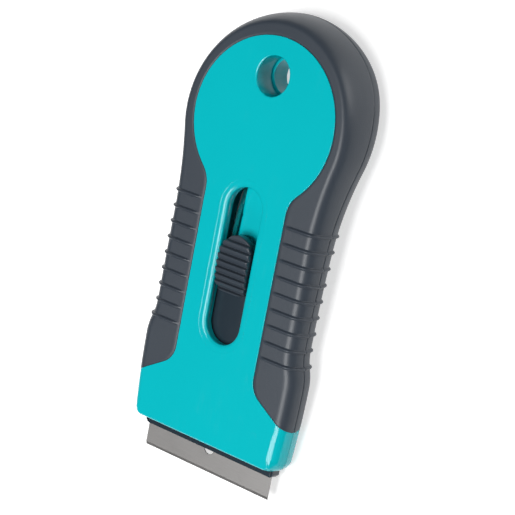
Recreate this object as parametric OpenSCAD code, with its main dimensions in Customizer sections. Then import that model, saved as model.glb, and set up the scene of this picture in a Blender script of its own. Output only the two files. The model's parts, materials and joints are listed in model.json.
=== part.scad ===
// Ceramic hob scraper: a flat two-part housing with soft grips, a hang hole in its round head
// and a blade carrier that a thumb button slides along a slot.
// It is drawn with its front face in the plane z = 0, x across and y from the blade's edge up to
// the head, with the blade out for work, and is then laid on its back as it rests on a table.

/* [Blade] */
// Width of the blade's cutting edges
blade_w = 40; // [36:0.5:41]
// Height of the blade, from one cutting edge to the other
blade_h = 20; // [17:0.5:21]
// Thickness of the blade
blade_t = 0.3; // [0.2:0.05:0.4]
// Width of the ground bevel along each cutting edge
bevel_w = 0.7; // [0.3:0.1:1.2]
// Thickness that is left at the blade's cutting edges
edge_t = 0.04; // [0.02:0.01:0.08]
// Radius of the two locating holes in the blade
blade_hole_r = 1.6; // [1.2:0.1:1.9]
// Distance of each locating hole from its nearer cutting edge
blade_hole_y = 6; // [4.5:0.1:7]
// Length of blade that stands out of its carrier
blade_out = 5.7; // [4:0.1:7]

/* [Body outline] */
// Height of the housing's mouth above the blade's edge
mouth_y = 7.6; // [7:0.1:10]
// Radius of the two lower corners
corner_r = 3.5; // [2.5:0.1:5]
// Distance by which the body's lower bulge stands out past the blade's side
low_past = 4.4; // [4:0.1:6]
// Height of that bulge
low_y = 28.5; // [26:0.5:30]
// Radius of the lower flank's slow curve
low_curve_r = 200; // [120:5:400]
// Distance by which the waist lies in from the bulge
waist_in = 1.65; // [1:0.05:2]
// Height at which the waist starts, above the bulge
waist_y = 37.5; // [35:0.5:40]
// Height at which the waist ends and the head begins to swell
waist_top_y = 60; // [56:0.5:64]
// Radius of the round head
head_r = 25.85; // [25:0.05:28]
// Height of the head's centre
head_y = 86.1; // [83:0.1:90]

/* [Body depth] */
// Thickness of the body at the mouth
body_t = 8.2; // [8:0.1:10]
// Thickness of the rear half behind the parting line
rear_t = 4.3; // [4:0.1:5]
// Height at which the back starts to swell
swell_y = 42; // [36:1:48]
// Height at which the back's hollow curve turns into the round behind the head
swell_turn_y = 96.5; // [94:0.5:100]
// Radius of the hollow curve of the back
hollow_r = 250; // [230:5:300]
// Radius of the round of the back behind the head
round_r = 44.5; // [40:0.5:60]
// Height at which the front face begins to fall back towards the head
front_bend_y = 60; // [56:1:66]
// Radius of the front face's slow fall towards the head
front_bend_r = 450; // [400:10:900]
// Inset of the front edge's rounding
edge_a = 3; // [2.6:0.1:3.4]
// Inset of the rear edge's rounding
edge_rear_a = 2.4; // [2:0.1:3]
// Share of the edge rounding that is left along the mouth
lip_share = 0.3; // [0.2:0.05:0.5]

/* [Shells] */
// Wall of the front shell where it is bare
front_wall = 2.4; // [2.2:0.1:2.6]
// Wall of the rear shell where it is bare
rear_wall = 2.0; // [1.8:0.1:2.1]
// Thickness of the soft grip over the shells
grip_t = 1.0; // [0.7:0.1:1.2]
// Half width of the hard panel between the grips
panel_w = 12.45; // [11.6:0.05:13]
// Width of the soft band beside the hard panel on the head
head_band = 4.9; // [4.4:0.1:6.3]
// Height of the panel's round on the head as a share of its width
panel_share = 0.945; // [0.92:0.005:1]
// Distance from the head's centre up to the middle of the panel's round
panel_up = 0.45; // [0:0.05:0.6]
// Radius of the fillet where the panel meets its round on the head
panel_fillet_r = 6.5; // [4:0.5:9]
// Height at which the panel starts to flare out towards the mouth
flare_y = 28.2; // [27:0.1:29.5]
// Radius of the flare's fillet
flare_r = 5.5; // [4:0.1:7]
// Slope of the flare's edge, in degrees below level
flare_deg = 30; // [24:1:34]
// Distance from the midline to the two pins that hold the shells together below the head
pin_x = 15.5; // [14.5:0.1:17]
// Height of the pins
pin_y = 42; // [40:0.5:50]
// Radius of the pins
pin_r = 1.2; // [1:0.05:1.4]
// Length of each pin past the parting line
pin_l = 1.6; // [1:0.1:1.8]

/* [Grip ribs] */
// Number of ribs on each side
rib_n = 9; // [5:1:9]
// Height of the lowest rib
rib_y = 33.5; // [32:0.1:34.5]
// Distance from rib to rib
rib_pitch = 3.914; // [3.4:0.01:4]
// Width of a rib
rib_w = 0.9; // [0.6:0.1:1.4]
// Height of a rib above the grip
rib_h = 0.55; // [0.3:0.05:0.8]
// Width of a rib's rounded back, above its foot
rib_back_w = 0.5; // [0.3:0.05:0.6]
// Share of a rib's height that its foot takes
rib_foot = 0.6; // [0.4:0.05:0.8]
// Distance from the midline to a rib's rounded inner tip
rib_tip_x = 13.9; // [13.2:0.1:16]

/* [Slot and button] */
// Half width of the slot
slot_w = 5.2; // [4.8:0.1:6]
// Height of the slot's lower end
slot_y0 = 32.5; // [31:0.1:34]
// Height of the slot's upper end
slot_y1 = 70.6; // [68:0.1:72]
// Width of the slot's sloping rim
slot_rim_w = 1.9; // [1:0.1:2.4]
// Depth of the slot's sloping rim
slot_rim_d = 1.4; // [0.8:0.1:1.7]
// Height of the thumb button's lower end
button_y = 45; // [40:0.1:48]
// Length of the thumb button
button_l = 14; // [12:0.5:15]
// Gap between the button and each side of the slot
button_gap = 0.5; // [0.3:0.05:0.8]
// Radius of the button's lower corners
button_corner_r = 2.2; // [1.5:0.1:3]
// Distance of the button's pegs from its ends
button_peg_in = 5; // [4.6:0.1:5.2]
// Radius of the button's pegs
button_peg_r = 1.2; // [0.9:0.05:1.3]
// Height of the button's crown above the front face
button_crown = 0.8; // [0.3:0.1:2]
// Fall of the button's back from its crown to its ends
button_fall = 1.3; // [0.6:0.1:1.8]
// Number of ridges on the button
ridge_n = 8; // [5:1:10]
// Depth of the grooves between the ridges
ridge_d = 0.45; // [0.2:0.05:0.6]
// Length left plain at each end of the ridges
ridge_lead = 0.3; // [0.2:0.05:0.6]
// Share of a ridge's length that its groove takes
ridge_groove = 0.3; // [0.2:0.05:0.5]

/* [Hang hole] */
// Distance from the head's centre up to the hole's centre
hang_up = 11; // [9:0.1:12]
// Radius of the hole in the front shell
hang_front_r = 4.75; // [4.6:0.05:5.5]
// Radius of the hole in the rear shell
hang_rear_r = 4.2; // [3.8:0.05:4.4]
// Wall of the tubes that line the hole
hang_wall = 1.5; // [1.3:0.1:1.8]
// Depth at which the front tube meets the rear tube
hang_step = 7.2; // [6:0.1:8]
// Length of the narrow bore in the rear shell, from which it opens out to the back
hang_land = 4.8; // [4.2:0.1:5.2]
// Radius of the rounding round the hole's front rim
hang_rim_r = 0.65; // [0.5:0.05:0.8]

/* [Mechanism] */
// Depth of the blade's middle plane below the front face
blade_z = 4.45; // [4.3:0.05:4.6]
// Wall of the carrier beside the blade
carrier_side = 0.65; // [0.5:0.05:0.8]
// Height of the carrier's bar above the blade's upper edge
carrier_top = 2.4; // [1.8:0.1:3]
// Distance by which the clamp stops short of the blade's upper edge
clamp_short = 2.8; // [2.6:0.1:3.2]
// Thickness of the clamp in front of the blade
clamp_t = 0.65; // [0.5:0.05:0.8]
// Distance from the midline to each of the clamp's two lugs
clamp_lug_x = 12; // [8:0.5:15]
// Half width of a lug
clamp_lug_w = 1.5; // [1:0.1:2.5]
// Length of a lug
clamp_lug_l = 1.2; // [0.8:0.1:1.4]
// Distance of the runners over the clamp from the carrier's sides
runner_in = 4; // [3:0.5:8]
// Radius of the peg that holds the blade
peg_r = 1.5; // [1:0.05:1.55]
// Gap between pieces that slide past each other
slide_gap = 0.15; // [0.1:0.05:0.25]
// Gap between pieces that are fitted together and stay put
seat_gap = 0.05; // [0.02:0.01:0.1]
// Half width of the carrier's tongue under the slot
tongue_w = 8.6; // [8:0.1:9.5]
// Thickness of the tongue's plate
tongue_t = 1.35; // [1:0.05:1.4]
// Half width of the flat along the tongue's middle
tongue_flat_w = 3; // [2:0.1:4]
// Fall of the tongue's front from that flat to its sides
tongue_fall = 0.4; // [0.2:0.05:0.6]
// Distance by which the tongue ends below the button's upper end
tongue_short = 2.6; // [2:0.1:3]
// Width of the flange down each side of the tongue
flange_w = 1.2; // [0.8:0.1:1.6]
// Length by which the tongue's guides run on past the slot
guide_past = 8; // [5:0.5:10]
// Half width of the detent rail on the rear shell
rail_w = 3.3; // [2.6:0.1:3.5]
// Length by which the rail runs in under the tongue
rail_under = 3.4; // [2:0.1:5]
// Length by which the rail runs on past the springs' highest place
rail_past = 2.2; // [1.5:0.1:3]
// Depth of the detent notches in the rail's sides
notch_d = 0.35; // [0.2:0.05:0.5]
// Thickness of the detent springs' steel strip
spring_t = 0.35; // [0.25:0.05:0.45]
// Width of the detent springs' steel strip
spring_w = 1.5; // [1:0.1:1.6]
// Distance of the springs' roots from the rail
spring_root = 2.3; // [2:0.1:2.6]
// Length of the springs' roots, held in the carrier
spring_held = 7; // [5:0.5:8]
// Distance from the button's upper end to the springs' noses
nose_up = 15; // [14:0.5:16]
// Length of the springs' tips, past their noses
spring_tip_l = 1.6; // [1:0.1:2.5]
// Distance by which the springs' tips turn out from the rail
spring_tip_out = 0.9; // [0.5:0.1:1.3]

/* [Screws] */
// Distance of each screw from the midline
screw_x = 13.5; // [12.5:0.1:14.5]
// Distance from the head's centre down to the screws
screw_down = 5.9; // [2:0.1:9]
// Radius of the screws' heads
screw_head_r = 2.1; // [1.8:0.1:2.3]
// Height of the screws' heads
screw_head_h = 1.4; // [1:0.1:1.6]
// Depth to which the screws' heads are sunk
screw_sunk = 0.6; // [0.3:0.1:1]
// Width of the cross slots in the screws' heads
screw_drive_w = 0.5; // [0.3:0.1:0.8]
// Radius of the screws' shanks
screw_r = 1.1; // [0.9:0.05:1.2]
// Length of the screws' shanks
screw_l = 6; // [5:0.1:6.5]
// Depth to which the screws' threads bite
screw_bite = 0.15; // [0.1:0.05:0.2]
// Wall of the bosses round the screws
boss_wall = 1.4; // [1.2:0.1:1.8]

/* [Hidden] */

$fn = 64;
// Distance by which cutters pass the faces they open, and by which fused forms run into each other
cut = 1;
root = 0.4;
teal = [0, 0.72, 0.76];
grey = [0.30, 0.34, 0.39];
dark = [0.24, 0.28, 0.33];
steel = [0.74, 0.74, 0.75];

// Turn of the back from its hollow curve into its round, and the lowest point of that round
swell_deg = asin((swell_turn_y - swell_y) / hollow_r);
back_y = swell_turn_y + round_r * sin(swell_deg);
back_t = body_t + (hollow_r + round_r) * (1 - cos(swell_deg));

// Thickness of the body, and depth of its parting line, at height y
function body_depth(y) =
    y <= swell_y ? body_t
    : y <= swell_turn_y ? body_t + hollow_r - sqrt(pow(hollow_r, 2) - pow(y - swell_y, 2))
    : back_t - round_r + sqrt(pow(round_r, 2) - pow(y - back_y, 2));
function parting(y) = body_depth(y) - rear_t;

// Fall of the front face at height y, and its slope there, in degrees
function front_fall(y) =
    y <= front_bend_y ? 0 : front_bend_r - sqrt(pow(front_bend_r, 2) - pow(y - front_bend_y, 2));
function front_slope(y) = asin(max(0, y - front_bend_y) / front_bend_r);

function smooth(t) = let (u = min(1, max(0, t))) u * u * (3 - 2 * u);

// Heights of the body's lie on its back: it rests on the mouth's rear edge and on the head's round
rest_y = mouth_y + lip_share * edge_rear_a;
to_round = [back_y - rest_y, round_r - back_t + body_t];
lie_deg = asin(round_r / norm(to_round)) - atan2(to_round[1], to_round[0]);
rest_z = body_t * cos(lie_deg) - rest_y * sin(lie_deg);
top_y = head_y + head_r;
far_y = top_y * cos(lie_deg) + parting(top_y) * sin(lie_deg);
near_y = blade_z * sin(lie_deg);
mid_y = (far_y + near_y) / 2;

// Right half of the outline, from the mouth to the top of the head. Each entry is a point, its
// outward direction and the share of the edge rounding there.
function arc(c, r, a0, a1, n, side = 1) = [for (i = [1:n])
    let (a = a0 + (a1 - a0) * i / n, out = [cos(a), sin(a)]) [c + r * out, side * out, 1]];
low_w = blade_w / 2 + low_past;
waist_w = low_w - waist_in;
low_deg = asin((low_y - mouth_y - corner_r) / (low_curve_r - corner_r));
corner = [low_w - low_curve_r + (low_curve_r - corner_r) * cos(low_deg), mouth_y + corner_r];
corner_n = 5;
bend_r = (pow(waist_y - low_y, 2) + pow(low_w - waist_w, 2)) / (4 * (low_w - waist_w));
bend_deg = asin((waist_y - low_y) / 2 / bend_r);
neck_r = (pow(waist_w, 2) + pow(head_y - waist_top_y, 2) - pow(head_r, 2)) / (2 * (head_r - waist_w));
neck_deg = atan((head_y - waist_top_y) / (waist_w + neck_r));
half = concat(
    [for (i = [0:corner_n]) let (t = i / corner_n, a = -90 + (90 - low_deg) * t, out = [cos(a), sin(a)])
        [corner + corner_r * out, out, lip_share + (1 - lip_share) * smooth(t)]],
    arc([low_w - low_curve_r, low_y], low_curve_r, -low_deg, 0, 4),
    arc([low_w - bend_r, low_y], bend_r, 0, bend_deg, 3),
    arc([waist_w + bend_r, waist_y], bend_r, 180 + bend_deg, 180, 3, -1),
    [for (i = [1:4]) [[waist_w, waist_y + (waist_top_y - waist_y) * i / 4], [1, 0], 1]],
    arc([waist_w + neck_r, waist_top_y], neck_r, 180, 180 - neck_deg, 5, -1),
    arc([0, head_y], head_r, -neck_deg, 90, 14));
tip = len(half) - 1;

// One ring round the body: the outline drawn in by inset, at the depth that depth(y) gives
function ring(inset, depth) =
    let (right = [for (i = [0:tip]) let (h = half[i], p = h[0] - h[2] * inset * h[1])
        [i == tip ? 0 : p[0], p[1], -depth(p[1])]])
    concat(right, [for (i = [tip - 1:-1:0]) [-right[i][0], right[i][1], right[i][2]]]);

// Solid through a stack of rings, from the deepest to the foremost, closed by strips across the body
module loft(rings) {
    n = 2 * tip + 1;
    last = len(rings) - 1;
    walls = [for (k = [0:last - 1]) for (i = [0:n - 1]) let (a = k * n + i, b = k * n + (i + 1) % n)
        each [[a, a + n, b + n], [a, b + n, b]]];
    strips = [for (i = [0:tip - 2]) [i, i + 1, 2 * tip - i - 1, 2 * tip - i]];
    tips = [[tip - 1, tip, tip + 1]];
    deep = concat(strips, tips);
    fore = [for (f = deep) [for (i = [len(f) - 1:-1:0]) last * n + f[i]]];
    polyhedron([for (r = rings) each r], concat(walls, deep, fore));
}

// The body in front of its parting line, drawn in by g; past carries it on behind that line
module front_body(g = 0, steps = 4, past = 0) {
    round_n = [for (k = [0:steps]) let (a = 90 * k / steps)
        ring(g + max(edge_a - g, root) * (1 - cos(a)),
             function(y) parting(y) - (parting(y) - front_fall(y) - g) * sin(a))];
    loft(past > 0 ? concat([ring(g, function(y) parting(y) + past)], round_n) : round_n);
}

// The body behind its parting line, drawn in by g; past carries it on in front of that line
module rear_body(g = 0, steps = 4, past = 0) {
    round_n = [for (k = [steps:-1:0]) let (a = 90 * k / steps)
        ring(g + max(edge_rear_a - g, root) * (1 - cos(a)),
             function(y) parting(y) + (rear_t - g) * sin(a))];
    loft(past > 0 ? concat(round_n, [ring(g, function(y) parting(y) - past)]) : round_n);
}

module both_sides() for (s = [0, 1]) mirror([s, 0, 0]) children();

// Straight prism through the whole depth of the body
module through() translate([0, 0, -back_t - 2 * cut]) linear_extrude(back_t + 4 * cut) children();

// Block from x0 to x1 and y0 to y1, between two depths below the front face
module block(x0, x1, y0, y1, deep, fore) translate([x0, y0, -deep]) cube([x1 - x0, y1 - y0, deep - fore]);

// Round bar or bore between two depths below the front face
module bar(r, deep, fore) translate([0, 0, -deep]) cylinder(deep - fore, r = r);

// Prism across the body, from its outline in the plane of y and z
module across(w) rotate([90, 0, 90]) translate([0, 0, -w]) linear_extrude(2 * w) children();

// Lays the scraper on its back
module at_rest() translate([0, -mid_y, rest_z]) rotate([lie_deg, 0, 0]) children();

// Outline of the hard panel that lies bare between the soft grips: flared to the mouth, straight
// beside the slot, and an oval on the head that a fillet leads into
panel_side = low_w + 3 * cut;
panel_head_w = head_r - head_band;
panel_head_l = panel_head_w * panel_share;
panel_mid = head_y + panel_up;
flare_mid = [panel_w + flare_r, flare_y];
flare_end = flare_mid - flare_r * [sin(flare_deg), cos(flare_deg)];
fillet_mid = [panel_w * panel_share + panel_fillet_r,
              panel_mid - sqrt(pow(panel_head_l + panel_fillet_r, 2)
                               - pow(panel_w * panel_share + panel_fillet_r, 2))];
fillet_deg = atan((panel_mid - fillet_mid[1]) / fillet_mid[0]);
function arc_2d(c, r, a0, a1, n) = [for (i = [0:n]) let (a = a0 + (a1 - a0) * i / n)
    c + r * [cos(a), sin(a)]];
function widened(points) = [for (p = points) [p[0] / panel_share, p[1]]];
module panel_2d() both_sides() polygon(concat(
    [[-cut, 0], [panel_side, 0], [panel_side, flare_end[1] - (panel_side - flare_end[0]) * tan(flare_deg)]],
    arc_2d(flare_mid, flare_r, 270 - flare_deg, 180, 6),
    widened(arc_2d(fillet_mid, panel_fillet_r, 180, 180 - fillet_deg, 6)),
    widened(arc_2d([0, panel_mid], panel_head_l, -fillet_deg, 90, 30)),
    [[-cut, panel_mid + panel_head_l]]));

// Plan of the ribs on both grips, at a rib's width w
module ribs_2d(w) both_sides() for (k = [0:rib_n - 1])
    translate([rib_tip_x + rib_w / 2, rib_y + k * rib_pitch]) {
        circle(w / 2);
        translate([0, -w / 2]) square([low_w, w]);
    }

// Long hole with round ends, w0 wide at height z0 and w1 wide at height z1
module long_hole(w0, w1, z0, z1) {
    ends = [slot_y0 + slot_w, slot_y1 - slot_w];
    for (y = ends) translate([0, y, z0]) cylinder(z1 - z0, w0, w1);
    translate([0, ends[1], 0]) rotate([90, 0, 0]) linear_extrude(ends[1] - ends[0])
        polygon([[-w0, z0], [w0, z0], [w1, z1], [-w1, z1]]);
}

// Cutter that rounds the rim of a hole of radius r in a face at z = 0
module hole_rim(r) rotate_extrude() difference() {
    translate([0, -hang_rim_r]) square([r + hang_rim_r, hang_rim_r + cut]);
    translate([r + hang_rim_r, -hang_rim_r]) circle(hang_rim_r);
}

// Places of the blade, its carrier and the button, with the blade out for work
hang_y = head_y + hang_up;
hang_fore = front_fall(hang_y) + front_wall / 2;
hang_flare = back_t + cut - hang_step - hang_land;
button_w = slot_w - button_gap;
button_end = button_y + button_l;
blade_gap = 3 * seat_gap;
carrier_w = blade_w / 2 + blade_gap + carrier_side;
carrier_end = blade_h + blade_gap + carrier_top;
blade_front = blade_z - blade_t / 2;
blade_back = blade_z + blade_t / 2;
carrier_front = blade_front - clamp_t;
carrier_back = body_t - rear_wall - slide_gap;
tongue_front = front_wall + slide_gap;
tongue_back = tongue_front + tongue_t;
tongue_end = button_end - tongue_short;
button_corner_x = button_w - button_corner_r;
button_pegs = [button_y + button_peg_in, button_end - button_peg_in];

// Ways that the button can go before it meets the round ends of the slot: up with its round end,
// and down with its two lower corners
travel_up = slot_y1 - button_end - slide_gap;
corner_room = slot_w - button_corner_r - slide_gap;
travel_down = button_y + button_corner_r - slot_y0 - slot_w
    + sqrt(pow(corner_room, 2) - pow(button_corner_x, 2));

rail_top = tongue_back + 2 * slide_gap;
nose_y = button_end + nose_up;
rail_y = tongue_end - rail_under;
rail_l = nose_y + travel_up + rail_past - rail_y;

// Two pins hold the shells together below the head, and two screws behind it
pin_end = parting(pin_y) + pin_l;
module pin_places() both_sides() translate([pin_x, pin_y, 0]) children();
screw_y = head_y - screw_down;
module screw_places() both_sides() translate([screw_x, screw_y, 0]) children();
screw_seat = body_depth(screw_y) - screw_head_h - screw_sunk;
boss_end = parting(screw_y);

module front_shell() at_rest() color(teal) difference() {
    union() {
        difference() {
            union() {
                intersection() {
                    front_body();
                    through() panel_2d();
                }
                front_body(grip_t, 3);
            }
            front_body(front_wall, 2, cut);
            block(-carrier_w - slide_gap, carrier_w + slide_gap, 0, mouth_y + corner_r, body_t, front_wall);
        }
        translate([0, hang_y, 0]) bar(hang_front_r + hang_wall, hang_step, hang_fore);
        screw_places() bar(screw_r + boss_wall, boss_end, front_wall - root);
        pin_places() {
            bar(pin_r + boss_wall, parting(pin_y), front_wall - root);
            bar(pin_r, pin_end, front_wall);
        }
        both_sides() {
            // Guide beside the carrier's tongue
            translate([tongue_w + slide_gap, 0, 0])
                block(0, flange_w, waist_y, slot_y1 + guide_past, tongue_back, front_wall - root);
            // Runner in front of the blade clamp
            translate([carrier_w - runner_in, 0, 0])
                block(0, flange_w, mouth_y + cut, carrier_end + travel_up, carrier_front - slide_gap,
                      front_wall - root);
        }
    }
    long_hole(slot_w, slot_w, -front_wall - cut, cut);
    long_hole(slot_w, slot_w + slot_rim_w, -slot_rim_d, 0);
    translate([0, hang_y, 0]) {
        bar(hang_front_r, hang_step + cut, -cut);
        // The rounding of the rim starts a little inside the bore, so that it cuts across its wall
        translate([0, 0, -front_fall(hang_y)]) rotate([-front_slope(hang_y), 0, 0])
            hole_rim(hang_front_r - slide_gap);
    }
    screw_places() bar(screw_r - screw_bite, boss_end + cut, front_wall);
}

module front_grip() at_rest() color(grey) difference() {
    union() {
        difference() {
            front_body();
            through() panel_2d();
        }
        intersection() {
            front_body(-rib_foot * rib_h);
            through() ribs_2d(rib_w);
        }
        intersection() {
            front_body(-rib_h);
            through() ribs_2d(rib_back_w);
        }
    }
    front_body(grip_t, 3, cut);
}

module rear_shell() at_rest() color(teal) difference() {
    union() {
        difference() {
            union() {
                intersection() {
                    rear_body();
                    through() panel_2d();
                }
                rear_body(grip_t, 3);
            }
            rear_body(rear_wall, 2, cut);
            block(-carrier_w - slide_gap, carrier_w + slide_gap, 0, mouth_y + corner_r,
                  body_t - rear_wall, 0);
        }
        translate([0, hang_y, 0]) bar(hang_rear_r + hang_wall, back_t - rear_wall + root, hang_step);
        screw_places() bar(screw_head_r + boss_wall, screw_seat + root, boss_end);
        pin_places() bar(pin_r + boss_wall, body_t - rear_wall + root, parting(pin_y));
        // Rail that the detent springs click along, on the shell's sloping floor
        difference() {
            across(rail_w) polygon(concat([[rail_y, -rail_top], [rail_y + rail_l, -rail_top]],
                [for (i = [6:-1:0]) let (y = rail_y + rail_l * i / 6)
                    [y, -body_depth(y) + rear_wall - root]]));
            both_sides() for (y = [nose_y - travel_down, nose_y, nose_y + travel_up])
                translate([rail_w + sqrt(2) * cut - notch_d, y, -back_t]) rotate(45)
                    translate([-cut, -cut, 0]) cube([2 * cut, 2 * cut, back_t]);
        }
    }
    translate([0, hang_y, 0]) {
        bar(hang_rear_r, back_t, 0);
        translate([0, 0, -back_t - cut]) cylinder(hang_flare, hang_rear_r + hang_flare, hang_rear_r);
    }
    screw_places() {
        bar(screw_head_r + slide_gap, back_t + cut, screw_seat);
        bar(screw_r + seat_gap, back_t, 0);
    }
    pin_places() bar(pin_r + seat_gap, pin_end + slide_gap, 0);
}

module rear_grip() at_rest() color(grey) difference() {
    union() {
        difference() {
            rear_body();
            through() panel_2d();
        }
        intersection() {
            rear_body(-rib_foot * rib_h);
            through() ribs_2d(rib_w);
        }
        intersection() {
            rear_body(-rib_h);
            through() ribs_2d(rib_back_w);
        }
    }
    rear_body(grip_t, 3, cut);
}

// Slides along the housing with the blade, the button and the detent springs
spring_x = rail_w + spring_root;
spring_y = tongue_end - spring_held;
spring_fore = rail_top + slide_gap;
clamp_end = blade_h - clamp_short;
lug_end = clamp_end + clamp_lug_l;
module blade_carrier() at_rest() color(dark) difference() {
    union() {
        translate([0, 0, -carrier_back]) linear_extrude(carrier_back - carrier_front) carrier_2d();
        translate([0, tongue_end, 0]) rotate([90, 0, 0])
            linear_extrude(tongue_end - carrier_end + carrier_top) tongue_2d();
        both_sides() {
            block(tongue_w - flange_w, tongue_w, carrier_end - root, tongue_end, carrier_back,
                  tongue_back - root);
            // Holder for a detent spring
            block(spring_x - flange_w, spring_x + flange_w, spring_y - flange_w, tongue_end,
                  spring_fore + spring_w + seat_gap, tongue_back - root);
        }
    }
    // Seat of the blade and its clamp, round the peg. The blade's upper edge lies in a pocket.
    difference() {
        translate([-blade_w / 2 - blade_gap, 0, 0]) {
            block(0, blade_w + 2 * blade_gap, 0, blade_h + blade_gap, blade_back, blade_front - seat_gap);
            block(0, blade_w + 2 * blade_gap, 0, clamp_end + seat_gap, blade_back, 0);
        }
        translate([0, blade_h - blade_hole_y, 0]) bar(peg_r, blade_back + cut, carrier_front);
    }
    both_sides() {
        translate([clamp_lug_x, 0, 0])
            block(-clamp_lug_w - seat_gap, clamp_lug_w + seat_gap, 0, lug_end + seat_gap, blade_front, 0);
        translate([spring_x, 0, 0])
            block(-spring_t / 2 - seat_gap, spring_t / 2 + seat_gap, spring_y, tongue_end + cut, body_t,
                  spring_fore - seat_gap);
    }
    for (y = button_pegs) translate([0, y, 0]) bar(button_peg_r + seat_gap, body_t, 0);
}

// Section of the carrier's tongue
module tongue_2d() both_sides() polygon([
    [-cut, -tongue_back], [tongue_w, -tongue_back], [tongue_w, -tongue_front - tongue_fall],
    [tongue_flat_w, -tongue_front], [-cut, -tongue_front]]);

// Outline of the carrier's bar, with its corners cut off
bar_corner = 0.7;
module carrier_2d() both_sides() polygon([
    [-cut, blade_out], [carrier_w - bar_corner, blade_out], [carrier_w, blade_out + bar_corner],
    [carrier_w, carrier_end - 2 * bar_corner], [carrier_w - 2 * bar_corner, carrier_end],
    [-cut, carrier_end]]);

// Thin plate that holds the blade on the carrier's peg
module blade_clamp() at_rest() color(dark) difference() {
    union() {
        block(-blade_w / 2, blade_w / 2, blade_out, clamp_end, blade_front, carrier_front);
        both_sides() translate([clamp_lug_x, 0, 0])
            block(-clamp_lug_w, clamp_lug_w, clamp_end - root, lug_end, blade_front, carrier_front);
    }
    translate([0, blade_h - blade_hole_y, 0]) bar(peg_r + seat_gap, blade_back, 0);
}

// Steel blade, ground along both long edges, with two locating holes
module blade() at_rest() color(steel) difference() {
    across(blade_w / 2) polygon([
        [0, -blade_back], [blade_h, -blade_back], [blade_h, -blade_back + edge_t],
        [blade_h - bevel_w, -blade_front], [bevel_w, -blade_front], [0, -blade_back + edge_t]]);
    for (y = [blade_hole_y, blade_h - blade_hole_y]) translate([0, y, 0]) bar(blade_hole_r, body_t, 0);
}

// Ridged thumb button, pegged into the carrier's tongue through the slot
ridge_pitch = (button_l - 2 * ridge_lead) / ridge_n;
function button_top(y) = button_crown - button_fall * pow(2 * (y - button_y) / button_l - 1, 2);
module thumb_button() at_rest() color(dark) {
    intersection() {
        across(slot_w) polygon(concat(
            [[button_y, -tongue_front], [button_y, button_top(button_y) - ridge_d]],
            [for (k = [0:ridge_n - 1]) let (y = button_y + ridge_lead + k * ridge_pitch) each [
                [y + ridge_pitch * ridge_groove / 2, button_top(y)],
                [y + ridge_pitch * (1 - ridge_groove / 2), button_top(y + ridge_pitch)],
                [y + ridge_pitch, button_top(y + ridge_pitch) - ridge_d]]],
            [[button_end, -tongue_front]]));
        translate([0, 0, -body_t]) linear_extrude(body_t + 2 * button_crown) {
            translate([-button_w, button_y + button_corner_r])
                square([2 * button_w, button_l - button_corner_r - button_w]);
            translate([-button_corner_x, button_y]) square([2 * button_corner_x, button_l / 2]);
            both_sides() translate([button_corner_x, button_y + button_corner_r]) circle(button_corner_r);
            translate([0, button_end - button_w]) circle(button_w);
        }
    }
    for (y = button_pegs) translate([0, y, 0]) bar(button_peg_r, tongue_back, tongue_front - root);
}

// Steel strip that reaches up from the carrier and bears on the side of the rail with its nose
nose_x = rail_w + slide_gap + spring_t / 2;
module detent_spring() {
    line = concat([[spring_x, spring_y + seat_gap]],
        [for (i = [0:6]) let (t = i / 6) [spring_x + (nose_x - spring_x) * (1 - cos(90 * t)),
                                          tongue_end + (nose_y - tongue_end) * t]],
        [[nose_x + spring_tip_out, nose_y + spring_tip_l]]);
    n = len(line) - 1;
    side = [for (i = [0:n]) let (d = line[min(n, i + 1)] - line[max(0, i - 1)]) [d[1], -d[0]] / norm(d)];
    translate([0, 0, -spring_fore - spring_w]) linear_extrude(spring_w)
        polygon(concat([for (i = [0:n]) line[i] + side[i] * spring_t / 2],
                       [for (i = [n:-1:0]) line[i] - side[i] * spring_t / 2]));
}
module detent_spring_left() at_rest() color(steel) mirror([1, 0, 0]) detent_spring();
module detent_spring_right() at_rest() color(steel) detent_spring();

// Self-tapping screws that hold the rear shell to the front shell's bosses
module housing_screws() at_rest() color(steel) screw_places() {
    difference() {
        bar(screw_head_r, screw_seat + screw_head_h, screw_seat);
        for (a = [0, 90]) rotate(a)
            block(-screw_head_r / 2, screw_head_r / 2, -screw_drive_w / 2, screw_drive_w / 2,
                  screw_seat + screw_head_h + cut, screw_seat + screw_head_h / 2);
    }
    bar(screw_r, screw_seat + root, screw_seat - screw_l);
}

front_shell();
front_grip();
rear_shell();
rear_grip();
blade_carrier();
blade_clamp();
blade();
thumb_button();
detent_spring_left();
detent_spring_right();
housing_screws();
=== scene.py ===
import json
import math

import bmesh
import bpy
import numpy as np
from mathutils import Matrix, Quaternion, Vector


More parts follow.
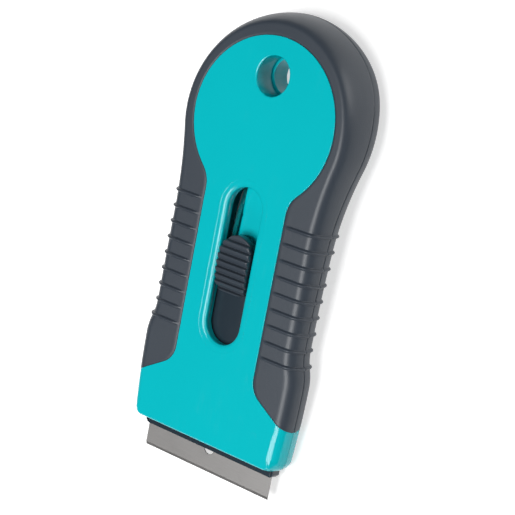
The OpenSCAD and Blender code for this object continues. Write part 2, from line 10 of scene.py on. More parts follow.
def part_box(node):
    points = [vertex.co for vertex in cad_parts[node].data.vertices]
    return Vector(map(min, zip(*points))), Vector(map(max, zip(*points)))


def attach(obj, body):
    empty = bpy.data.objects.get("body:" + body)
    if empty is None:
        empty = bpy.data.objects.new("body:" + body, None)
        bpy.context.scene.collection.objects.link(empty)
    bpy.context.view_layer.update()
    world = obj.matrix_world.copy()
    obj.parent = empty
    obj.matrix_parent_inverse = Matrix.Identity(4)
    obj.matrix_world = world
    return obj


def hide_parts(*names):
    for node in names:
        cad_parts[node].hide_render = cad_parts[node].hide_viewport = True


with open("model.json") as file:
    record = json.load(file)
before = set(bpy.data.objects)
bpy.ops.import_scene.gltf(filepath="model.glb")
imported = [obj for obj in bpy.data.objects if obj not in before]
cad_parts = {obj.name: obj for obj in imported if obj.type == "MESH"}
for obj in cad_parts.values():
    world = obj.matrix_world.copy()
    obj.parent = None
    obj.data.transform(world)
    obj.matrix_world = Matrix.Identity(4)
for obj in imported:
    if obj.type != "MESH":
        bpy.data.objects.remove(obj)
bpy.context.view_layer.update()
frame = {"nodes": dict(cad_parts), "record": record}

# Rear and front shells: glossy turquoise mouldings, 2 mm thick, that meet at the parting line and
# are held together by two pins and two screws. The front one carries the slot, the round head
# panel and the front half of the hang hole.
MM = 0.001


def node_group(name, inputs, outputs):
    """An empty shader node group with named sockets, each input with its default value."""
    group = bpy.data.node_groups.new(name, "ShaderNodeTree")
    for label, kind, value in inputs:
        socket = group.interface.new_socket(name=label, in_out="INPUT", socket_type=kind)
        if value is not None:
            socket.default_value = value
    for label in outputs:
        group.interface.new_socket(name=label, in_out="OUTPUT", socket_type="NodeSocketFloat")
    return group, group.nodes.new("NodeGroupInput"), group.nodes.new("NodeGroupOutput")


def math_node(tree, operation, *values):
    """A Math node whose inputs are sockets or numbers. Its result is the socket returned."""
    node = tree.nodes.new("ShaderNodeMath")
    node.operation = operation
    for socket, value in zip(node.inputs, values):
        if isinstance(value, (int, float)):
            socket.default_value = value
        else:
            tree.links.new(value, socket)
    return node.outputs[0]


def noise_node(tree, place_socket, scale, detail, roughness=0.5):
    """Fac of a noise texture read at place_socket, with a number or a socket as its scale."""
    node = tree.nodes.new("ShaderNodeTexNoise")
    node.inputs["Detail"].default_value = detail
    node.inputs["Roughness"].default_value = roughness
    tree.links.new(place_socket, node.inputs["Vector"])
    if isinstance(scale, (int, float)):
        node.inputs["Scale"].default_value = scale
    else:
        tree.links.new(scale, node.inputs["Scale"])
    return node.outputs["Fac"]


# Two effects that several finishes share: the fine grain that a mould or an etch leaves on
# plastic, and the hair scratches and dull patches that handling leaves on any finish
def moulded_grain_group():
    """Height: fine grain with a slow waviness under it. Patches: slow change over centimetres."""
    group, given, result = node_group("moulded_grain", [
        ("Place", "NodeSocketVector", None),
        ("Grain Scale", "NodeSocketFloat", 4000.0),
        ("Grain Share", "NodeSocketFloat", 0.6),
    ], ["Height", "Patches"])
    grain = noise_node(group, given.outputs["Place"], given.outputs["Grain Scale"], 3.0, 0.6)
    waves = noise_node(group, given.outputs["Place"], 160.0, 1.0)
    patches = noise_node(group, given.outputs["Place"], 55.0, 3.0)
    rest = math_node(group, "SUBTRACT", 1.0, given.outputs["Grain Share"])
    height = math_node(group, "ADD", math_node(group, "MULTIPLY", grain, given.outputs["Grain Share"]),
                       math_node(group, "MULTIPLY", waves, rest))
    group.links.new(height, result.inputs["Height"])
    group.links.new(patches, result.inputs["Patches"])
    return group


def handling_marks_group():
    """Scratches: thin bent lines along two directions, kept in patches. Smudges: soft dull spots."""
    group, given, result = node_group("handling_marks", [
        ("Place", "NodeSocketVector", None),
        ("Spacing", "NodeSocketFloat", 260.0),
        ("Amount", "NodeSocketFloat", 0.3),
    ], ["Scratches", "Smudges"])
    lines = []
    for turn in (0.5, 1.9):
        mapping = group.nodes.new("ShaderNodeMapping")
        mapping.inputs["Rotation"].default_value = (0.0, 0.0, turn)
        mapping.inputs["Scale"].default_value = (1.0, 0.06, 1.0)
        group.links.new(given.outputs["Place"], mapping.inputs["Vector"])
        hair = noise_node(group, mapping.outputs["Vector"], given.outputs["Spacing"], 2.0, 0.7)
        near = math_node(group, "ABSOLUTE", math_node(group, "SUBTRACT", hair, 0.5))
        lines.append(math_node(group, "LESS_THAN", near, 0.004))
    gate = noise_node(group, given.outputs["Place"], 90.0, 2.0)
    gate = math_node(group, "GREATER_THAN", gate, 0.56)
    both = math_node(group, "MULTIPLY", math_node(group, "MAXIMUM", *lines), gate)
    scratches = math_node(group, "MULTIPLY", both, given.outputs["Amount"])
    group.links.new(scratches, result.inputs["Scratches"])
    smudges = noise_node(group, given.outputs["Place"], 120.0, 4.0, 0.55)
    smudges = math_node(group, "MULTIPLY", smudges, given.outputs["Amount"])
    group.links.new(smudges, result.inputs["Smudges"])
    return group


GRAIN = moulded_grain_group()
MARKS = handling_marks_group()


def new_finish(name, color, roughness, metallic=0.0):
    """A material with a Principled shader, and the shader node, tree and Object coordinates."""
    material = bpy.data.materials.new(name)
    material.use_nodes = True
    tree = material.node_tree
    shader = tree.nodes["Principled BSDF"]
    shader.inputs["Base Color"].default_value = (*color, 1.0)
    shader.inputs["Roughness"].default_value = roughness
    shader.inputs["Metallic"].default_value = metallic
    return material, tree, shader, tree.nodes.new("ShaderNodeTexCoord").outputs["Object"]


def add_group(tree, group, place_socket, **values):
    """A group node read at place_socket, with its other inputs set by name."""
    node = tree.nodes.new("ShaderNodeGroup")
    node.node_tree = group
    tree.links.new(place_socket, node.inputs["Place"])
    for label, value in values.items():
        node.inputs[label.replace("_", " ")].default_value = value
    return node


def add_bump(tree, shader, height, depth_mm, strength=1.0):
    """Bump of the given depth from a height socket, set on the shader's Normal."""
    bump = tree.nodes.new("ShaderNodeBump")
    bump.inputs["Strength"].default_value = strength
    bump.inputs["Distance"].default_value = depth_mm * MM
    tree.links.new(height, bump.inputs["Height"])
    tree.links.new(bump.outputs["Normal"], shader.inputs["Normal"])


def ramp(tree, factor, low, high, socket):
    """Carries a factor from 0 to 1 onto the range from low to high, as a colour or a number."""
    if isinstance(low, tuple):
        node = tree.nodes.new("ShaderNodeMix")
        node.data_type = "RGBA"
        tree.links.new(factor, node.inputs["Factor"])
        node.inputs["A"].default_value = (*low, 1.0)
        node.inputs["B"].default_value = (*high, 1.0)
        tree.links.new(node.outputs["Result"], socket)
        return
    node = tree.nodes.new("ShaderNodeMapRange")
    tree.links.new(factor, node.inputs["Value"])
    node.inputs["From Min"].default_value = 0.25
    node.inputs["From Max"].default_value = 0.75
    node.inputs["To Min"].default_value = low
    node.inputs["To Max"].default_value = high
    tree.links.new(node.outputs["Result"], socket)


def teal_plastic():
    """High gloss moulded plastic: faint waviness, hair scratches and slightly duller smudges."""
    material, tree, shader, place_socket = new_finish("teal_plastic", (0.0, 0.49, 0.545), 0.16)
    grain = add_group(tree, GRAIN, place_socket, Grain_Scale=2500.0, Grain_Share=0.25)
    marks = add_group(tree, MARKS, place_socket, Spacing=240.0, Amount=0.35)
    ramp(tree, grain.outputs["Patches"], (0.0, 0.475, 0.53), (0.0, 0.505, 0.56),
         shader.inputs["Base Color"])
    worn = math_node(tree, "ADD", marks.outputs["Smudges"], marks.outputs["Scratches"])
    ramp(tree, worn, 0.15, 0.30, shader.inputs["Roughness"])
    add_bump(tree, shader, grain.outputs["Height"], 0.02, 0.35)
    shader.inputs["Specular IOR Level"].default_value = 0.4
    return material


# Rounding of a mould's edges, the turn from which an edge gets it, and what counts as one point
# and one plane when a solid's triangles are joined
mould_round, sharp_turn = 0.12, math.radians(28)
weld_mm, flat_turn = 0.002, math.radians(0.4)


def moulded_copy(node, name, material, body):
    """A copy of a frame solid, its triangles joined and its edges rounded as a mould leaves them."""
    mesh = frame["nodes"][node].data.copy()
    mesh.name = name
    shape = bmesh.new()
    shape.from_mesh(mesh)
    bmesh.ops.remove_doubles(shape, verts=shape.verts, dist=weld_mm * MM)
    bmesh.ops.dissolve_limit(shape, angle_limit=flat_turn, verts=shape.verts, edges=shape.edges)
    shape.to_mesh(mesh)
    shape.free()
    mesh.materials.clear()
    mesh.materials.append(material)
    mesh.shade_smooth()
    piece = bpy.data.objects.new(name, mesh)
    bpy.context.scene.collection.objects.link(piece)
    bevel = piece.modifiers.new("mould_edges", "BEVEL")
    bevel.width = mould_round * MM
    bevel.segments = 3
    bevel.limit_method = "ANGLE"
    bevel.angle_limit = sharp_turn
    bevel.use_clamp_overlap = False
    weighted = piece.modifiers.new("flat_faces_stay_flat", "WEIGHTED_NORMAL")
    weighted.weight = 100
    weighted.keep_sharp = True
    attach(piece, body)
    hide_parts(node)
    return piece


TEAL = teal_plastic()
moulded_copy("rear_shell", "rear_shell_moulding", TEAL, "housing")
moulded_copy("front_shell", "front_shell_moulding", TEAL, "housing")

# Slot rim: the shallow dish round the mouth of the slot, which falls gently from a hair-thin step
# in the face and rounds over into the slot's wall. It is moulded in one with the front shell.
# Half width and ends of the slot, and where and how sharply the front face starts to fall
slot_w, slot_y0, slot_y1 = 5.2, 32.5, 70.6
front_bend_y, front_bend_r = 60.0, 450.0
# The rim stands by rim_step over the face. Its tilt in degrees is given at lengths along its
# profile: step, dish, bright inner slope, groove and the round over into the wall. Its foot lies
# rim_foot_z deep, and its root is buried in the shell.
rim_step = 0.01
rim_at = [0.0, 0.07, 0.11, 0.2, 1.1, 1.2, 1.52, 1.58, 1.68, 1.73, 1.78, 2.36, 2.58]
rim_tilt = [0, 18, 18, 3, 5, 16, 17, 40, 40, 22, 24, 90, 90]
rim_foot_z, rim_root, rim_root_z = -1.6, 0.12, -0.3
rim_rows, rim_turns = 80, 61

# The scraper lies on its back on a table. Its shapes are worked out in millimetres on its own
# axes: x across, y from the blade's edge up to the head, and z out of the flat front face. The
# frame's hang hole fixes where they lie, by its height and the depth of its narrow bore's middle.
ACROSS = np.array([1.0, 0.0, 0.0])
ALONG = np.array(frame["record"]["behaviour"]["joints"][0]["axis"])
OUT = np.cross(ACROSS, ALONG)
hang_y, hang_mid = 97.1, 9.6
FOOT = np.array(frame["record"]["mounts"][0]["pos_m"]) - MM * (hang_y * ALONG - hang_mid * OUT)


def place(points):
    """Points on the scraper's own axes, in millimetres, as points of the scene in metres."""
    points = np.asarray(points, float)
    return FOOT + MM * (points[..., :1] * ACROSS + points[..., 1:2] * ALONG + points[..., 2:3] * OUT)


def solid_piece(name, points, faces, body, material, slot, nodes=()):
    """A closed mesh piece. Its faces are turned round if the volume that they enclose is negative."""
    corners = points[faces]
    fans = np.cross(corners[:, 1] - corners[:, 0], corners[:, 2] - corners[:, 0])
    fans += np.cross(corners[:, 2] - corners[:, 0], corners[:, 3] - corners[:, 0])
    if np.sum(fans * corners[:, 0]) < 0:
        faces = faces[:, ::-1]
    mesh = bpy.data.meshes.new(name)
    mesh.from_pydata(place(points).tolist(), [], faces.tolist())
    mesh.validate()
    mesh.shade_smooth()
    mesh.materials.append(material)
    piece = bpy.data.objects.new(name, mesh)
    bpy.context.scene.collection.objects.link(piece)
    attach(piece, body)
    if nodes:
        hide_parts(*nodes)
    return piece


def front_fall(y):
    """Fall of the front face at height y, along the slow arc that starts above the slot's middle."""
    return front_bend_r - np.sqrt(front_bend_r ** 2 - np.maximum(y - front_bend_y, 0) ** 2)


def slot_rim_mesh():
    """A closed profile carried round the slot at a distance from its middle line. The profile falls
    by the sine of its tilt and goes inward by the cosine, from the face to the slot's wall."""
    run = np.linspace(0, rim_at[-1], rim_rows)
    tilt = np.interp(run, rim_at, rim_tilt)
    pace = np.radians(0.5 * (tilt[1:] + tilt[:-1]))
    fall = np.concatenate([[0], np.cumsum(np.sin(pace))]) * run[1]
    inward = np.concatenate([[0], np.cumsum(np.cos(pace))]) * run[1]
    out = np.concatenate([inward[-1] - inward, [0.0, rim_root, inward[-1]]])[::-1]
    up = np.concatenate([rim_step - fall, [rim_foot_z, rim_foot_z, rim_root_z]])[::-1]
    arc = np.linspace(0, np.pi, rim_turns)
    around = np.concatenate([arc, arc + np.pi])
    middle = np.concatenate([np.full_like(arc, slot_y1 - slot_w), np.full_like(arc, slot_y0 + slot_w)])
    x = np.cos(around)[:, None] * (slot_w + out)
    y = middle[:, None] + np.sin(around)[:, None] * (slot_w + out)
    points = np.stack([x, y, up - front_fall(y)], -1)
    index = np.arange(x.size).reshape(x.shape)
    ahead, beside = np.roll(index, -1, 0), np.roll(index, -1, 1)
    faces = np.stack([index, ahead, np.roll(ahead, -1, 1), beside], -1)
    return points.reshape(-1, 3), faces.reshape(-1, 4)


solid_piece("slot_rim", *slot_rim_mesh(), "housing", TEAL, "teal_plastic")

# Front and rear grips: soft satin grey skins, 1 mm thick, moulded over both shells down the sides
# and round the head, with nine rounded ribs a side that run on over the parting line.
low_w, low_y, low_curve_r = 24.4, 28.5, 200.0
waist_w, waist_y, waist_top_y = 22.75, 37.5, 60.0
head_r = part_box("front_grip")[1][0] / MM - 0.02
head_y = 86.1
bend_r = ((waist_y - low_y) ** 2 + (low_w - waist_w) ** 2) / (4 * (low_w - waist_w))
bend_mid_y = (low_y + waist_y) / 2
neck_r = (waist_w ** 2 + (head_y - waist_top_y) ** 2 - head_r ** 2) / (2 * (head_r - waist_w))
neck_end_y = waist_top_y + neck_r * math.sin(math.atan((head_y - waist_top_y) / (waist_w + neck_r)))


def side_x(y):
    """Half width of the body at height y: a slow arc, the two arcs of the bulge, the straight
    waist, the hollow arc of the neck and the round of the head."""
    def circle(middle_x, middle_y, r, side):
        return middle_x + side * np.sqrt(np.maximum(r * r - (y - middle_y) ** 2, 0))
    return np.select(
        [y < low_y, y < bend_mid_y, y < waist_y, y < waist_top_y, y < neck_end_y],
        [circle(low_w - low_curve_r, low_y, low_curve_r, 1), circle(low_w - bend_r, low_y, bend_r, 1),
         circle(waist_w + bend_r, waist_y, bend_r, -1), np.full_like(y, waist_w),
         circle(waist_w + neck_r, waist_top_y, neck_r, -1)],
        circle(0, head_y, head_r, 1))


# The hard panel between the grips: its sides, its flare to the mouth, and its oval on the head
panel_w, panel_fillet_r = 12.45, 6.5
flare_y, flare_r, flare_deg = 28.2, 5.5, 30.0
flare_end_x = panel_w + flare_r * (1 - math.sin(math.radians(flare_deg)))
flare_end_y = flare_y - flare_r * math.cos(math.radians(flare_deg))
head_band, oval_share, oval_up = 4.9, 0.945, 0.45
oval_w = head_r - head_band
oval_l, oval_y = oval_w * oval_share, head_y + oval_up
fillet_x = panel_w * oval_share + panel_fillet_r
fillet_y = oval_y - math.sqrt((oval_l + panel_fillet_r) ** 2 - fillet_x ** 2)
fillet_end_y = oval_y + (fillet_y - oval_y) * oval_l / (oval_l + panel_fillet_r)


def panel_x(y):
    """Half width of the hard panel at height y: the flare's straight edge and fillet, the straight
    sides, the fillet under the head and the oval of the head, both widened alike."""
    return np.select(
        [y < flare_end_y, y < flare_y, y < fillet_y, y < fillet_end_y],
        [flare_end_x + (flare_end_y - y) / math.tan(math.radians(flare_deg)),
         panel_w + flare_r - np.sqrt(np.maximum(flare_r ** 2 - (flare_y - y) ** 2, 0)),
         np.full_like(y, panel_w),
         (fillet_x - np.sqrt(np.maximum(panel_fillet_r ** 2 - (y - fillet_y) ** 2, 0))) / oval_share],
        np.sqrt(np.maximum(oval_l ** 2 - (y - oval_y) ** 2, 0)) / oval_share)


def oval_reach(angle):
    """Distance from the head's centre out to the panel's oval: the root r of the quadratic
    (r cos / oval_w)^2 + ((r sin - oval_up) / oval_l)^2 = 1."""
    a = (np.cos(angle) / oval_w) ** 2 + (np.sin(angle) / oval_l) ** 2
    b = np.sin(angle) * oval_up / oval_l ** 2
    return (b + np.sqrt(b * b - a * ((oval_up / oval_l) ** 2 - 1))) / a


# The body's depth, and the curves of its back
body_t, rear_t = 8.2, 4.3
swell_y, swell_turn_y, hollow_r, round_r = 42.0, 96.5, 250.0, 44.5
swell_angle = math.asin((swell_turn_y - swell_y) / hollow_r)
back_y = swell_turn_y + round_r * math.sin(swell_angle)
back_t = body_t + (hollow_r + round_r) * (1 - math.cos(swell_angle))


def body_depth(y):
    """Thickness of the body at height y: level, then a hollow arc, then the round behind the head."""
    hollow = body_t + hollow_r - np.sqrt(np.maximum(hollow_r ** 2 - (y - swell_y) ** 2, 0))
    rounded = back_t - round_r + np.sqrt(np.maximum(round_r ** 2 - (y - back_y) ** 2, 0))
    return np.select([y < swell_y, y < swell_turn_y], [np.full_like(y, body_t), hollow], rounded)


rib_n, rib_y, rib_pitch, rib_tip_x = 9, 33.5, 3.914, 13.9
rib_half_w, rib_h = 0.44, 0.52


def rib_rise(x, y):
    """Height of the ribs over the grip: a parabola across each rib, and round its inner tip."""
    nearest = rib_y + rib_pitch * np.clip(np.round((y - rib_y) / rib_pitch), 0, rib_n - 1)
    off = np.hypot(np.maximum(rib_tip_x + rib_half_w - np.abs(x), 0), y - nearest)
    return rib_h * np.maximum(1 - (off / rib_half_w) ** 2, 0)


# Insets of the front and rear edges' rounding. A lip rolls the skin in along the panel, and a
# shallow seam runs along the parting line. Where the skin is narrow it is thinner.
front_inset, rear_inset = 3.0, 2.4
lip_l, lip_share, lip_fall = 0.35, 0.35, 0.28
seam_l, seam_fall = 0.32, 0.16
grip_t, tip_t, taper = 1.0, 0.02, 0.7
# The skin begins between the heights tip_low and tip_high, where it is tip_w wide. Its rows lie
# closest from ribs_from to ribs_to, and ease spaces its points across the lip and the seam.
tip_low, tip_high, tip_w = 18, 23, 0.06
ribs_from, ribs_to = 32.7, 66.0
low_rows, rib_rows, neck_rows, head_rows = 52, 381, 66, 56
ease = np.array([0, 0.12, 0.3, 0.6, 1.0])


def both_sides(rows):
    """Values for the rows of the right side, and then for their mirror images on the left."""
    return np.concatenate([rows, rows[-2::-1]])


def grip_grids(front):
    """Outer and inner points of a grip. A row runs from the hard panel's edge out to the parting
    line, level along the sides and radially round the head. Along it, the inset from the outline
    shrinks as a square, and it sets the depth as a quarter ellipse does."""
    tips = np.linspace(tip_low, tip_high, 2001)
    tip_y = tips[np.argmax(side_x(tips) - panel_x(tips) > tip_w)]
    y = np.concatenate([np.linspace(tip_y, ribs_from, low_rows)[:-1],
                        np.linspace(ribs_from, ribs_to, rib_rows)[:-1],
                        np.linspace(ribs_to, head_y, neck_rows)[:-1]])
    angle = np.linspace(0, np.pi / 2, head_rows)
    lean = 1 / np.sqrt(1 + np.gradient(side_x(y), y) ** 2)
    edge = np.stack([np.concatenate([side_x(y), head_r * np.cos(angle)]),
                     np.concatenate([y, head_y + head_r * np.sin(angle)])], -1)
    inward = np.stack([np.concatenate([-np.ones_like(y), -np.cos(angle)]),
                       np.concatenate([np.zeros_like(y), -np.sin(angle)])], -1)
    lean = np.concatenate([lean, np.ones_like(angle)])
    reach = np.concatenate([side_x(y) - panel_x(y), head_r - oval_reach(angle)]) * lean
    inset_full, rise = rear_inset, np.full_like(lean, rear_t)
    if front:
        inset_full, rise = front_inset, body_depth(edge[:, 1]) - rear_t - front_fall(edge[:, 1])
    lip = np.minimum(lip_l, lip_share * reach)
    seam_inset = inset_full * (1 - np.sqrt(1 - (seam_l / rise) ** 2))
    sweep = np.linspace(0, 1, 30)[1:-1]
    start, stop = np.sqrt(reach - lip), np.sqrt(np.minimum(seam_inset, 0.5 * (reach - lip)))
    inset = np.concatenate([
        reach[:, None] - lip[:, None] * ease,
        (start[:, None] + (stop - start)[:, None] * sweep) ** 2,
        stop[:, None] ** 2 * ease[::-1] ** 2], 1)
    plan = edge[:, None] + inward[:, None] * (inset / lean[:, None])[..., None]
    turn = 1 - np.minimum(inset / inset_full, 1)
    depth = body_depth(plan[..., 1])
    sine = np.sqrt(1 - turn ** 2)
    fall = front_fall(plan[..., 1])
    z = -fall - (depth - rear_t - fall) * (1 - sine) if front else -(depth - rear_t) - rear_t * sine
    right = np.concatenate([plan, z[..., None]], -1)
    base = np.concatenate([right, right[-2::-1] * [-1, 1, 1]])
    normal = np.cross(np.gradient(base, axis=0), np.gradient(base, axis=1))
    normal /= np.linalg.norm(normal, axis=-1, keepdims=True)
    normal *= np.sign(normal[0, -1, 0])
    from_panel = both_sides((reach[:, None] - inset) / np.maximum(lip[:, None], 1e-6))
    from_seam = both_sides((rise[:, None] * sine) / seam_l)
    height = rib_rise(base[..., 0], base[..., 1])
    height = height - lip_fall * np.clip(1 - from_panel, 0, 1) ** 2
    height = height - seam_fall * np.clip(1 - from_seam, 0, 1) ** 2
    thick = both_sides(np.minimum(grip_t, tip_t + taper * reach))[:, None]
    return base + normal * height[..., None], base - normal * thick[..., None]


def skin_faces(rows, columns):
    """Quads of a closed skin whose outer and inner points are two grids of one size, outer first."""
    index = np.arange(rows * columns).reshape(rows, columns)
    sheet = np.stack([index[:-1, :-1], index[1:, :-1], index[1:, 1:], index[:-1, 1:]], -1)
    sheet = sheet.reshape(-1, 4)
    rim = np.concatenate([index[0, :-1], index[:-1, -1], index[-1, :0:-1], index[:0:-1, 0]])
    ahead = np.roll(rim, -1)
    walls = np.stack([rim, ahead, ahead + index.size, rim + index.size], -1)
    return np.concatenate([sheet[:, ::-1], sheet + index.size, walls])


def grey_grip():
    """Satin soft-touch skin: dense fine grain, faint mottling and a soft sheen at low angles."""
    material, tree, shader, place_socket = new_finish("grey_grip", (0.041, 0.054, 0.073), 0.46)
    grain = add_group(tree, GRAIN, place_socket, Grain_Scale=3400.0, Grain_Share=0.85)
    marks = add_group(tree, MARKS, place_socket, Spacing=300.0, Amount=0.5)
    ramp(tree, grain.outputs["Patches"], (0.033, 0.043, 0.058), (0.041, 0.053, 0.070),
         shader.inputs["Base Color"])
    ramp(tree, marks.outputs["Smudges"], 0.42, 0.51, shader.inputs["Roughness"])
    add_bump(tree, shader, grain.outputs["Height"], 0.05, 0.6)
    shader.inputs["Specular IOR Level"].default_value = 0.5
    return material


GREY = grey_grip()
for grip, front in (("rear_grip", False), ("front_grip", True)):
    outer, inner = grip_grids(front)
    solid_piece(grip + "_skin", np.concatenate([outer.reshape(-1, 3), inner.reshape(-1, 3)]),
                skin_faces(*outer.shape[:2]), "housing", GREY, "grey_grip", [grip])


# Blade carrier and clamp: dark moulded plastic with a polish. Their colour is darker than the button's,
# partly as their own darker plastic and partly as painted shade for the depth of the slot where the
# tongue lies. The carrier's bar holds the blade on a peg at the mouth, the clamp closes it in front, and
# the tongue shows in the slot.
def dark_plastic(name, color, smooth):
    """Moulded plastic with a fine even etch, and a roughness that starts at the value smooth."""
    material, tree, shader, place_socket = new_finish(name, color, smooth + 0.04)
    grain = add_group(tree, GRAIN, place_socket, Grain_Scale=4200.0, Grain_Share=0.7)
    marks = add_group(tree, MARKS, place_socket, Spacing=320.0, Amount=0.5)
    ramp(tree, grain.outputs["Patches"], tuple(0.87 * c for c in color), tuple(1.13 * c for c in color),
         shader.inputs["Base Color"])
    ramp(tree, marks.outputs["Smudges"], smooth, smooth + 0.12, shader.inputs["Roughness"])
    add_bump(tree, shader, grain.outputs["Height"], 0.02, 0.5)
    shader.inputs["Specular IOR Level"].default_value = 0.5
    return material


# Darker than the button's colour: partly the carrier's own plastic, partly painted shade for the slot's
# depth
POLISHED_WITH_PAINTED_SHADE = dark_plastic("carrier_plastic_and_painted_shade", (0.018, 0.03, 0.042), 0.2)
moulded_copy("blade_carrier", "blade_carrier_moulding", POLISHED_WITH_PAINTED_SHADE, "slider")
moulded_copy("blade_clamp", "blade_clamp_moulding", POLISHED_WITH_PAINTED_SHADE, "slider")

# Thumb button: satin dark plastic, domed and cut into saw teeth for the thumb. It stands in the
# slot and is pegged into the carrier's tongue.
SATIN = dark_plastic("button_plastic", (0.040, 0.052, 0.068), 0.3)
button_y, button_l, button_w = 45.0, 14.0, 4.7
button_corner_r, button_crown, button_fall = 2.2, 0.8, 1.3
button_foot_z, side_round, tail_l = -2.55, 0.35, 0.12
# A tooth's gentle fall takes it to gentle_d of its depth at gentle_t of its length, and its
# bottom lies at bottom_t.
ridge_n, ridge_lead, ridge_d = 8, 0.3, 0.75
gentle_d, gentle_t, bottom_t = 0.6, 0.62, 0.74
back_rows, tail_rows, back_columns = 330, 12, 12


def button_half_w(y):
    """Half width of the button's plan: round lower corners, straight sides and a round upper end."""
    low = np.clip(button_corner_r - (y - button_y), 0, button_corner_r)
    high = np.clip(y - (button_y + button_l - button_w), 0, button_w)
    return np.where(high > 0, np.sqrt(np.maximum(button_w ** 2 - high ** 2, 0)),
                    button_w - button_corner_r + np.sqrt(button_corner_r ** 2 - low ** 2))


def button_back(y):
    """Height of the button's back: a crowned parabola cut into saw teeth. Each tooth falls gently
    from its crest towards the blade, and rises steeply to the next crest."""
    crown = button_crown - button_fall * (2 * (y - button_y) / button_l - 1) ** 2
    pitch = (button_l - 2 * ridge_lead) / ridge_n
    t = ((button_y + button_l - ridge_lead) - y) / pitch
    t = np.where((t > 0) & (t < ridge_n), t % 1.0, 0.0)
    gentle = gentle_d * (t / gentle_t) ** 1.6
    turn = np.clip((t - gentle_t) / (bottom_t - gentle_t), 0, 1)
    deep = gentle_d + (1 - gentle_d) * np.sin(np.pi / 2 * turn)
    steep = 0.5 + 0.5 * np.cos(np.pi * np.clip((t - bottom_t) / (1 - bottom_t), 0, 1))
    return crown - ridge_d * np.select([t < gentle_t, t < bottom_t], [gentle, deep], steep)


def thumb_button_mesh():
    """Loops across the button, one for each height y: up one side, over its rounded edges and back,
    and down the other side. The two end loops and the foot are closed by flat faces."""
    tail = button_y + button_l - tail_l * np.linspace(1, 0.02, tail_rows) ** 2
    y = np.concatenate([np.linspace(button_y, tail[0], back_rows)[:-1], tail])
    half_w, back = button_half_w(y), button_back(y)
    rounding = np.minimum(side_round, 0.5 * half_w)
    turn = np.linspace(0, np.pi / 2, 6)
    x = np.concatenate([
        -half_w[:, None] * np.ones(3),
        -half_w[:, None] + rounding[:, None] * (1 - np.cos(turn[1:])),
        (half_w - rounding)[:, None] * np.linspace(-1, 1, back_columns + 2)[1:-1],
        half_w[:, None] - rounding[:, None] * (1 - np.cos(turn[:0:-1])),
        half_w[:, None] * np.ones(3)], 1)
    foot = np.full_like(y, button_foot_z)
    wall = np.stack([foot, (foot + back - rounding) / 2, back - rounding], 1)
    arc = (back - rounding)[:, None] + rounding[:, None] * np.sin(turn[1:])
    z = np.concatenate([wall, arc, back[:, None] * np.ones(back_columns), arc[:, ::-1], wall[:, ::-1]], 1)
    points = np.stack([x, np.broadcast_to(y[:, None], x.shape), z], -1)
    rows, columns = x.shape
    index = np.arange(rows * columns).reshape(rows, columns)
    around = np.roll(index, -1, 1)
    sides = np.stack([index[:-1], around[:-1], around[1:], index[1:]], -1).reshape(-1, 4)
    half = columns // 2
    ends = []
    for row in (index[0], index[-1, ::-1]):
        back_row = row[::-1]
        ends.append(np.stack([row[:half - 1], row[1:half], back_row[1:half], back_row[:half - 1]], -1))
    return points.reshape(-1, 3), np.concatenate([sides, ends[0][:, ::-1], ends[1][:, ::-1]])


solid_piece("thumb_button_ridged", *thumb_button_mesh(), "slider", SATIN, "dark_plastic",
            ["thumb_button"])

# Blade, detent springs and screws: hardened strip steel with fine grinding lines and a bevel along
# each edge, bowed strips of spring steel that ride beside the rail, and plain steel screws.
def ground_steel(name, color, roughness, nodes):
    """Steel with fine lines ground along x, given to the frame's solids of the listed nodes."""
    material, tree, shader, place_socket = new_finish(name, color, roughness, 1.0)
    mapping = tree.nodes.new("ShaderNodeMapping")
    mapping.inputs["Scale"].default_value = (0.02, 1.0, 1.0)
    tree.links.new(place_socket, mapping.inputs["Vector"])
    lines = noise_node(tree, mapping.outputs["Vector"], 9000.0, 3.0, 0.7)
    marks = add_group(tree, MARKS, place_socket, Spacing=260.0, Amount=0.8)
    ramp(tree, lines, tuple(0.9 * c for c in color), tuple(1.1 * c for c in color),
         shader.inputs["Base Color"])
    ramp(tree, marks.outputs["Smudges"], roughness - 0.05, roughness + 0.08, shader.inputs["Roughness"])
    add_bump(tree, shader, lines, 0.01, 0.35)
    for node in nodes:
        frame["nodes"][node].data.materials.clear()
        frame["nodes"][node].data.materials.append(material)


ground_steel("blade_steel", (0.30, 0.292, 0.287), 0.5, ["blade"])
ground_steel("spring_steel", (0.5, 0.48, 0.46), 0.3, ["detent_spring_left", "detent_spring_right"])
ground_steel("screw_steel", (0.6, 0.61, 0.63), 0.28, ["housing_screws"])

# Table, light and camera: a plain pale table, a large soft light overhead with a weak one from the
# blade's side and a low one behind the head, and the photograph's own viewpoint.
table_mesh = bpy.data.meshes.new("table")
table_mesh.from_pydata([(-3, -3, 0), (3, -3, 0), (3, 3, 0), (-3, 3, 0)], [], [(0, 1, 2, 3)])
table = bpy.data.objects.new("table", table_mesh)
bpy.context.scene.collection.objects.link(table)


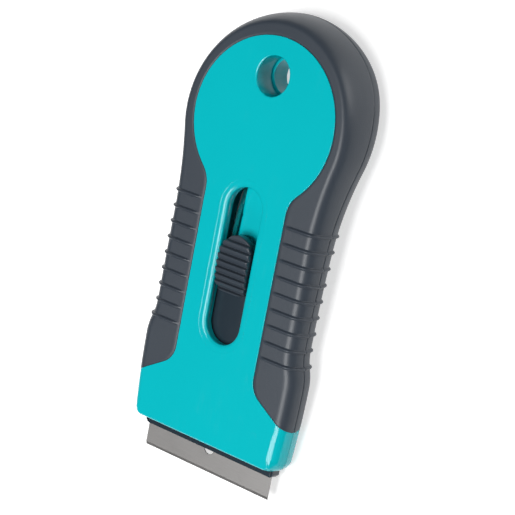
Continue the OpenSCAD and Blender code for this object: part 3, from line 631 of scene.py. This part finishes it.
def seen_directly(tree):
    """1 for rays from the camera and for mirrored or refracted ones, 0 for those that carry light."""
    path = tree.nodes.new("ShaderNodeLightPath").outputs
    mirrored = math_node(tree, "MAXIMUM", path["Is Camera Ray"], path["Is Glossy Ray"])
    return math_node(tree, "MAXIMUM", mirrored, path["Is Transmission Ray"])


def table_finish():
    """Matte pale table that shows as white where no shadow falls on it."""
    material, tree, shader, _ = new_finish("table_finish", (0.7, 0.7, 0.7), 0.9)
    shader.inputs["Specular IOR Level"].default_value = 0.0
    shader.inputs["Emission Color"].default_value = (1.0, 1.0, 1.0, 1.0)
    glow = math_node(tree, "MULTIPLY", seen_directly(tree), 0.62)
    tree.links.new(glow, shader.inputs["Emission Strength"])
    return material


table_mesh.materials.append(table_finish())

world = bpy.data.worlds.new("room")
bpy.context.scene.world = world
world.use_nodes = True
sky = world.node_tree.nodes["Background"]
sky.inputs["Color"].default_value = (1.0, 1.0, 1.0, 1.0)
sky.inputs["Strength"].default_value = 0.08


def soft_light(name, direction, distance, size, watts):
    """A square area light at a distance from the scraper along a direction, facing it."""
    data = bpy.data.lights.new(name, "AREA")
    data.size = size
    data.energy = watts
    lamp = bpy.data.objects.new(name, data)
    away = Vector(direction).normalized()
    lamp.location = away * distance
    lamp.rotation_euler = away.to_track_quat("Z", "Y").to_euler()
    bpy.context.scene.collection.objects.link(lamp)


soft_light("key", (-0.05, -0.28, 1.0), 0.9, 0.55, 8.4)
soft_light("front_fill", (0.1, -0.9, 0.45), 1.1, 0.3, 1.0)
soft_light("back_light", (0.7, 0.75, 0.08), 0.8, 0.4, 3.0)

camera_at = Vector((0.27528, 0.06577, 0.356812))
camera_aim = Vector((0.00598, -0.000971, 0.010481))
camera_roll = math.radians(-87.3635)
camera_data = bpy.data.cameras.new("camera")
camera_data.sensor_width = 36.0
camera_data.lens = camera_data.sensor_width * 1912.5 / 515
camera = bpy.data.objects.new("camera", camera_data)
camera.location = camera_at
aim = (camera_aim - camera_at).to_track_quat("-Z", "Y")
camera.rotation_mode = "QUATERNION"
camera.rotation_quaternion = aim @ Quaternion((0, 0, 1), camera_roll)
bpy.context.scene.collection.objects.link(camera)
bpy.context.scene.camera = camera
bpy.context.scene.view_settings.view_transform = "Standard"
